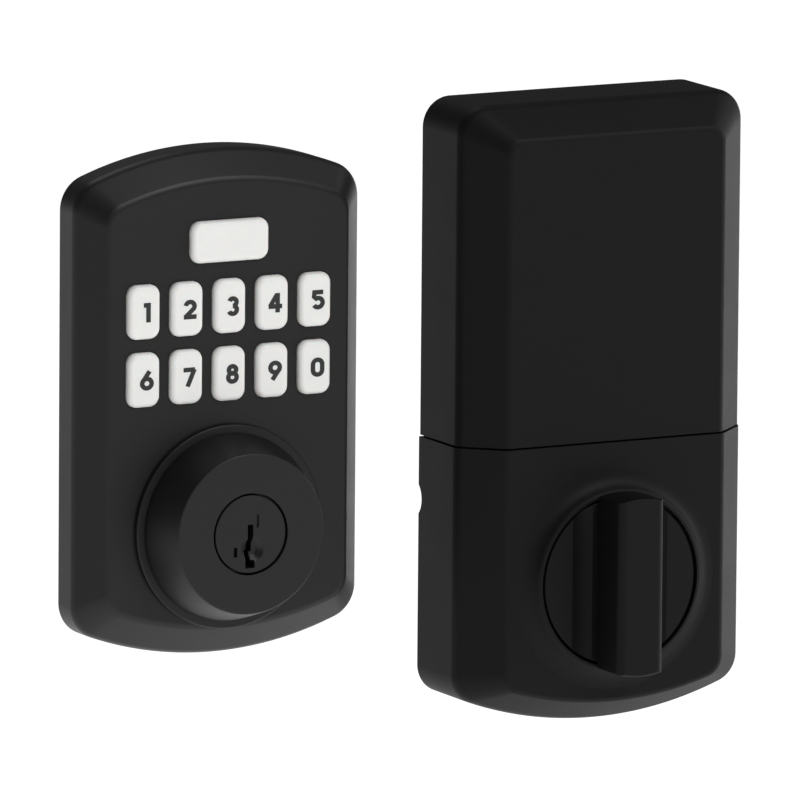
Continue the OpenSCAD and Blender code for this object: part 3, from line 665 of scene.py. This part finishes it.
# The hollow slope of the boss, from its foot on the face to its front
boss_slope = [(26.2, -26.4), (25.9, -26.62), (24.6, -26.75), (23.4, -27.15), (22.5, -27.7),
              (21.9, -28.3), (21.5, -28.9), (21.2, -29.2)]
boss_core = 15 * mm
boss = lathe("boss", [
    (boss_core, boss_slope[0][1] * mm), *((radius * mm, y * mm) for radius, y in boss_slope),
    (20.9 * mm, boss_front), (boss_core, boss_front)])
cut(lower, boss, "UNION")
cut(lower, rod("thumb_hole", boss_hole, 0, 0, boss_front - mm, mm, 160))
screw_x = unit_half - unit_wall - 3.6 * mm
for x, z in ((-screw_x, -18.5 * mm), (screw_x, 22 * mm)):
    cut(lower, rod("screw_post", 2.6 * mm, x, z, -unit_side - 1.9 * mm, -3.8 * mm, 32), "UNION")
    cut(lower, rod("screw_hole", 1.2 * mm, x, z, -12.7 * mm, mm, 32))
notch_r = 4.6 * mm
notch = rod("notch", notch_r, 0, 0, -5 * mm, 5 * mm, 64)
notch.data.transform(Matrix.Rotation(quarter, 4, "Z"))
cut(lower, moved(notch, (-unit_half, notch_r - 1.5 * mm, 17.3 * mm)))
smooth(moved(lower, (unit_x, 0, unit_z)))
print("lower housing", len(lower.data.polygons), "faces")

# %% [markdown]
# The battery cover is the rest of the same shell, above the seam. Both pieces come from one
# form, so their bevels meet, and the cover only differs in being drawn a little smaller.

# %% Battery cover
cover = beyond(unit_shell("battery_cover_moulded", cover_step), seam_high, True)
smooth(moved(cover, (unit_x, 0, unit_z)))
print("battery cover", len(cover.data.polygons), "faces")

# %% [markdown]
# ## Thumbturn
# The thumbturn is a disc with a raised paddle for two fingers. The paddle's ends are turned
# about the disc's own centre line, so it is a bar with rounded edges, kept only where it lies
# inside a circle. Two shallow scoops in the disc, one on each side, leave room for fingertips.

# %% Disc with scoops, and paddle
turn_low, turn_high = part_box("thumbturn")
disc_front = -29.2 * mm
disc_back = disc_front + 4 * mm
paddle_front = turn_low.y
half_paddle = 5.9 * mm
disc_r = turn_high.x - unit_x
disc = rod("thumbturn_moulded", disc_r, 0, 0, disc_front, disc_back, 160)
broken_edges(disc, [(disc_r, disc_front)], 0.3 * mm)
scoop_half, scoop_deep, scoop_away = 2.6 * mm, 0.7 * mm, 3.9 * mm
scoop_r = (scoop_half ** 2 + scoop_deep ** 2) / (2 * scoop_deep)
for side in (-1, 1):
    scoop = rod("scoop", scoop_r, 0, 0, -30 * mm, 30 * mm, 120)
    scoop.data.transform(Matrix.Rotation(quarter, 4, "X"))
    moved(scoop, (side * (half_paddle + scoop_away), disc_front + scoop_deep - scoop_r, 0))
    cut(disc, scoop)


def bar_in_circle(name, radius, front, back, rounded):
    """A bar as wide as the paddle, with its ends turned to a circle and its front edges rounded."""
    bar = box(name, (-half_paddle, front, -30 * mm), (half_paddle, back, 30 * mm))
    circle = rod("circle", radius, 0, 0, front, back, 200)
    if rounded:
        soften(bar, 1.8 * mm, upright_at(front), 8)
        broken_edges(circle, [(radius, front)], 0.6 * mm, steps=4)
    cut(bar, circle, "INTERSECT")
    return bar


paddle = bar_in_circle("paddle", 20.9 * mm, paddle_front, -29.8 * mm, True)
cut(paddle, bar_in_circle("paddle_root", 19 * mm, -29.9 * mm, disc_back - 0.5 * mm, False), "UNION")
cut(disc, paddle, "UNION")
hub = rod("hub", 8 * mm, 0, 0, disc_back - 0.1 * mm, turn_high.y, 96)
cut(disc, hub, "UNION")
cut(disc, rod("spindle_bore", 6.02 * mm, 0, 0, disc_back, turn_high.y + mm, 96))
thumbturn = smooth(moved(disc, (unit_x, 0, unit_z)), 32)
print("thumbturn", len(thumbturn.data.polygons), "faces")

# %% [markdown]
# ## Cells and their springs
# Under the battery cover sit four cells on coil springs. Each cell is a round can with rolled
# edges and a small button on its end.

# %% Four cells
cells_low, cells_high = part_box("aa_cells")
cell_count = 4
cell_r = (cells_high.y - cells_low.y) / 2
cell_y = (cells_low.y + cells_high.y) / 2
cell_pitch = (cells_high.x - cells_low.x - 2 * cell_r) / (cell_count - 1)
cell_end, cell_tip = cells_low.z, cells_high.z
springs_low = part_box("battery_springs")[0]


def upright(piece, x):
    """Turns a piece drawn along Y to stand along Z, with its front end up, in its own bay."""
    piece.data.transform(Matrix.Rotation(-quarter, 4, "X"))
    return moved(piece, (x, cell_y, 0))


cell_places = [cells_low.x + cell_r + bay * cell_pitch for bay in range(cell_count)]
cans, buttons = [], []
for x in cell_places:
    can = rod("can", cell_r, 0, 0, -(cell_tip - 1.2 * mm), -cell_end, 64)
    soften(can, 0.7 * mm, lambda a, b: abs(a.y - b.y) < hair and (a - b).length < 2 * mm, 4)
    cans.append(upright(can, x))
    button = rod("button", 2.7 * mm, 0, 0, -cell_tip, -(cell_tip - 1.5 * mm), 32)
    soften(button, 0.4 * mm, at_depth(-cell_tip), 3)
    buttons.append(upright(button, x))
cell_cans, cell_tips = join(*cans), join(*buttons)
cell_cans.name, cell_tips.name = "cell_cans", "cell_tips"
smooth(cell_cans, 40)
smooth(cell_tips, 40)
print("cells", len(cell_cans.data.polygons) + len(cell_tips.data.polygons), "faces")

# %% [markdown]
# A spring starts as one small circle of wire. The Screw modifier winds it round the cell's
# axis, and each turn climbs by the same step.

# %% Four coil springs
wire, coil_r = 0.45 * mm, 4.6 * mm
turns = 5
climb = (cell_end - springs_low.z - 2.2 * wire) / turns
coils = []
for x in cell_places:
    nothing_selected()
    bpy.ops.mesh.primitive_circle_add(
        vertices=12, radius=wire, location=(coil_r, 0, 0), rotation=(quarter, 0, 0))
    coil = settle("coil")
    modify(coil, "SCREW", axis="Z", screw_offset=climb, iterations=turns, steps=32, render_steps=32,
           use_merge_vertices=False)
    pick(coil, "EDGE", lambda a, b: True)
    bpy.ops.mesh.select_all(action="DESELECT")
    bpy.ops.mesh.select_non_manifold()
    bpy.ops.mesh.edge_face_add()
    done()
    clean(coil)
    coils.append(moved(coil, (x, cell_y, springs_low.z + wire)))
cell_coils = smooth(join(*coils), 60)
cell_coils.name = "cell_coils"
print("springs", len(cell_coils.data.polygons), "faces")

# %% [markdown]
# ## Putting the pieces in place
# Every new piece rides on the CAD body that it moves with, and stands in for its CAD node.
# `slot` says which of the record's materials the piece is made of.

# %% Ride, replace and slot
parts = [
    (escutcheon, "root", "escutcheon", "painted_zinc"),
    (collar, "root", "cylinder_collar", "painted_zinc"),
    (plug, "plug", "key_plug", "painted_zinc"),
    (lower, "root", "lower_housing", "black_moulding"),
    (cover, "cover", "battery_cover", "black_moulding"),
    (thumbturn, "turn", "thumbturn", "black_moulding"),
    (cell_cans, "root", "aa_cells", "cell_jacket"),
    (cell_tips, "root", None, "steel"),
    (cell_coils, "root", "battery_springs", "steel"),
]
parts += [(keys[name], name, name, "key_white") for name in key_names]
parts += [(prints[digit], "key_" + digit, None, "black_moulding") for digit in digits]
for piece, body, node, slot in parts:
    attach(piece, body)
    if node:
        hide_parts(node)
print(len(parts), "pieces placed")

# %% [markdown]
# ## Materials
# Every finish is procedural: the pattern is worked out from where a point lies on the piece.
# A pattern's size is given in millimetres. Two noises do most of the work: a fine one raises
# the grain that a mould or a spray gun leaves, and a broad one makes the gloss uneven, as
# handling does.

# %% Node helpers
# A Mix node has a pair of inputs for every kind of value; these are the places of its colours
COLOUR_A, COLOUR_B, COLOUR_OUT = 6, 7, 2


def linear(code):
    """Turns an sRGB hex colour into the linear colour that the shader wants."""
    values = [int(code[i:i + 2], 16) / 255 for i in (1, 3, 5)]
    return [v / 12.92 if v <= 0.04045 else ((v + 0.055) / 1.055) ** 2.4 for v in values] + [1]


def add(tree, kind, settings=None, links=None):
    """Adds a node. Settings go to its properties or sockets, links join other nodes to it."""
    node = tree.nodes.new("ShaderNode" + kind)
    for key, value in (settings or {}).items():
        if key in node.bl_rna.properties:
            setattr(node, key, value)
        else:
            node.inputs[key].default_value = value
    for key, (source, output) in (links or {}).items():
        tree.links.new(source.outputs[output], node.inputs[key])
    return node


def found(material, kind):
    """The first node of a kind in a material."""
    return next(node for node in material.node_tree.nodes if node.type == kind)


def surface(name, colour, other, rough, uneven, grain, height, stretch=(1, 1, 1), **shader):
    """A finish: two near colours, roughness with its spread, and a grain of a size and height.

    Sizes are in millimetres. `stretch` draws the grain out along an axis, for turned or
    brushed metal. The rest goes to the Principled shader's sockets by name.
    """
    material = bpy.data.materials.new(name)
    material.use_nodes = True
    tree = material.node_tree
    tree.nodes.clear()
    place = add(tree, "TexCoord")
    lined = add(tree, "Mapping", {"Scale": stretch}, {"Vector": (place, "Object")})
    fine = add(tree, "TexNoise", {"Scale": 1 / (grain * mm), "Detail": 3, "Roughness": 0.55},
               {"Vector": (lined, "Vector")})
    broad = add(tree, "TexNoise", {"Scale": 1 / (14 * mm), "Detail": 4, "Roughness": 0.6},
                {"Vector": (place, "Object")})
    tint = add(tree, "Mix", {"data_type": "RGBA"}, {"Factor": (broad, "Fac")})
    tint.inputs[COLOUR_A].default_value = linear(colour)
    tint.inputs[COLOUR_B].default_value = linear(other)
    gloss = add(tree, "MapRange", {"To Min": rough - uneven, "To Max": rough + uneven},
                {"Value": (broad, "Fac")})
    bump = add(tree, "Bump", {"Distance": height * mm, "Strength": 1}, {"Height": (fine, "Fac")})
    body = add(tree, "BsdfPrincipled", {key.replace("_", " "): value for key, value in shader.items()},
               {"Roughness": (gloss, "Result"), "Normal": (bump, "Normal")})
    tree.links.new(tint.outputs[COLOUR_OUT], body.inputs["Base Color"])
    add(tree, "OutputMaterial", links={"Surface": (body, "BSDF")})
    return material


# %% [markdown]
# The cast halves are sprayed, so their grain is the soft orange peel of powder coat. Moulded
# pieces carry the fine spark texture of their mould. Metals are left bare, with the lines of
# the tool along or around them.

# %% One finish for every slot
finishes = {
    # Zinc casting under a fine matte black powder coat
    "painted_zinc": surface("matte black powder coat", "#101010", "#141414", 0.46, 0.04, 0.5, 0.01,
                            Specular_IOR_Level=0.28),
    # Spark-textured black ABS
    "black_moulding": surface("textured black ABS", "#0A0A0B", "#0D0D0E", 0.56, 0.04, 0.35, 0.008,
                              Specular_IOR_Level=0.13),
    # Closed-cell EPDM foam, dull and finely pitted
    "gasket_rubber": surface("foam rubber gasket", "#1A1A1A", "#242424", 0.9, 0.05, 0.6, 0.12),
    # Cast silicone of the key mat, slightly see-through and milky
    "mat_rubber": surface("grey silicone mat", "#7C8084", "#8A8E92", 0.62, 0.05, 0.4, 0.01,
                          Subsurface_Weight=0.2, Subsurface_Scale=1 * mm),
    # Turned brass, lines around the Y axis drawn out by the stretch
    "brass": surface("turned brass", "#C9A75A", "#B8963F", 0.3, 0.08, 0.25, 0.004, (0.1, 6, 0.1),
                     Metallic=1),
    # Zinc-plated steel with rolling lines
    "steel": surface("zinc-plated steel", "#B4B8BA", "#9DA2A6", 0.34, 0.08, 0.4, 0.004, (0.15, 1, 4),
                     Metallic=1),
    # Natural nylon, waxy and slightly see-through
    "nylon": surface("natural nylon", "#D8D4C4", "#CBC5B0", 0.45, 0.06, 0.5, 0.008,
                     Subsurface_Weight=0.3, Subsurface_Scale=2 * mm),
    # Printed shrink sleeve around a cell
    "cell_jacket": surface("glossy cell sleeve", "#1E4C7A", "#22558A", 0.22, 0.04, 3, 0.01, Coat_Weight=0.4),
    # Double-shot white polycarbonate of the keys, satin
    "key_white": surface("satin white key plastic", "#E4E4E2", "#DDDDDB", 0.42, 0.04, 0.3, 0.004,
                         Subsurface_Weight=0.15, Subsurface_Scale=1.5 * mm),
}
ink_black = surface("printed digit ink", "#121212", "#171717", 0.5, 0.05, 0.4, 0.004)
print(len(finishes) + 1, "finishes")

# %% [markdown]
# Circuit boards need one thing more: copper tracks under the green mask. A brick pattern
# gives short straight runs, and it only raises and lightens the mask a little.

# %% Circuit board
board = surface("green solder mask", "#1C5638", "#174A30", 0.3, 0.05, 1.5, 0.004, Coat_Weight=0.3)
tree = board.node_tree
turned = add(tree, "Mapping", {"Rotation": (quarter, 0, 0)},
             {"Vector": (found(board, "TEX_COORD"), "Object")})
tracks = add(tree, "TexBrick", {
    "Scale": 1 / (3 * mm), "Mortar Size": 0.09, "Mortar Smooth": 0.1, "Brick Width": 1.9, "Row Height": 0.5,
    "Color1": (0, 0, 0, 1), "Color2": (0, 0, 0, 1), "Mortar": (1, 1, 1, 1)}, {"Vector": (turned, "Vector")})
plain = found(board, "MIX")
copper = add(tree, "Mix", {"data_type": "RGBA"}, {"Factor": (tracks, "Color")})
copper.inputs[COLOUR_B].default_value = linear("#3E8A55")
tree.links.new(plain.outputs[COLOUR_OUT], copper.inputs[COLOUR_A])
tree.links.new(copper.outputs[COLOUR_OUT], found(board, "BSDF_PRINCIPLED").inputs["Base Color"])
finishes["board_green"] = board

# %% [markdown]
# Each piece says in its slot what it is made of, so the finishes are handed out by slot: one
# loop for the new pieces and one for the pieces that keep their CAD shape. Only the ink on
# the keys is given by hand.

# %% Assign the finishes
slots = {row["node"]: row["material_slot"] for row in frame["record"]["subparts"]}
for piece, _, _, slot in parts:
    piece.data.materials.clear()
    piece.data.materials.append(finishes[slot])
for piece in prints.values():
    piece.data.materials[0] = ink_black
for name, node in frame["nodes"].items():
    node.data.materials.clear()
    node.data.materials.append(finishes[slots[name]])
print("finished", len(parts), "new pieces and", len(frame["nodes"]), "CAD nodes")

# %% [markdown]
# ## Studio
# The lock floats over a plain pale floor, so that nothing hides its lower edges. The pale
# floor works as a large reflector: black edges that lean down or sideways pick it up, and the
# flat faces stay dark. A tall soft box stands at the right, a small lamp behind it, another
# above and behind the lock, and a last one high up in front.

# %% Floor
nothing_selected()
bpy.ops.mesh.primitive_plane_add(size=60, location=(0, 20, -0.45))  # metres
floor = settle("floor")
floor_paint = surface("white studio floor", "#F4F4F2", "#F8F8F6", 0.85, 0.02, 40, 0.01)
shine = found(floor_paint, "BSDF_PRINCIPLED")
shine.inputs["Emission Color"].default_value = (1, 1, 1, 1)
shine.inputs["Emission Strength"].default_value = 0.9
floor.data.materials.append(floor_paint)
floor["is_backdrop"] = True

# %% [markdown]
# A black object is seen by what it mirrors, so the light is made of a few soft lamps and a
# weak white sky. More lamps, or a brighter sky, would turn the black faces grey.

# %% Lamps and sky
# Lamps' places and sizes are in metres, and their power is in watts
world = bpy.data.worlds.new("studio sky")
bpy.context.scene.world = world
world.use_nodes = True
sky = world.node_tree.nodes["Background"]
sky.inputs["Color"].default_value = (1, 1, 1, 1)
sky.inputs["Strength"].default_value = 0.12
middle = Vector((52 * mm, -10 * mm, 20 * mm))


def lamp(name, place, wide, tall, watts):
    """A soft box that faces the lock."""
    nothing_selected()
    bpy.ops.object.light_add(type="AREA", location=place)
    light = bpy.context.object
    light.name = name
    light.data.shape = "RECTANGLE"
    light.data.size, light.data.size_y = wide, tall
    light.data.energy = watts
    light.rotation_euler = (middle - Vector(place)).to_track_quat("-Z", "Y").to_euler()
    light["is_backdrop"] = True


lamp("right_box", (1.5, -0.2, 0.35), 0.6, 1.4, 8)
lamp("back_rim", (1.7, 0.9, -0.1), 0.5, 0.5, 3)
lamp("top_back", (0.1, 0.8, 1.4), 0.5, 0.5, 3)
lamp("high_front", (0.6, -1.5, 1.7), 0.8, 0.8, 30)

# %% [markdown]
# ## Camera
# A long lens from far away keeps upright edges almost upright. The camera's place is worked
# out from two angles and a distance, and one lens length fills the frame.

# %% Camera
# Three angles in radians and a distance in metres
heading, lift, roll, reach = 0.4845, 0.1695, 0.008, 3.5
aim = Vector((51.55, 0, 23.47)) * mm
ahead = Vector((math.sin(heading) * math.cos(lift), math.cos(heading) * math.cos(lift), -math.sin(lift)))
level = Vector((math.cos(heading), -math.sin(heading), 0))
above = level.cross(ahead)
right = math.cos(roll) * level + math.sin(roll) * above
up = math.cos(roll) * above - math.sin(roll) * level
camera_data = bpy.data.cameras.new("camera")
camera = bpy.data.objects.new("camera", camera_data)
bpy.context.scene.collection.objects.link(camera)
camera_data.sensor_width = 36
camera_data.lens = 681
camera_data.clip_end = 200
turned_to = Matrix((right, up, -ahead)).transposed().to_4x4()
camera.matrix_world = Matrix.Translation(aim - ahead * reach) @ turned_to
bpy.context.scene.camera = camera
bpy.context.scene.view_settings.view_transform = "Standard"
print("camera at", [round(v, 3) for v in camera.location])

# %% Sizes and finish
low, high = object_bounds()
print("visual box", [round(v, 4) for v in (*low, *high)])
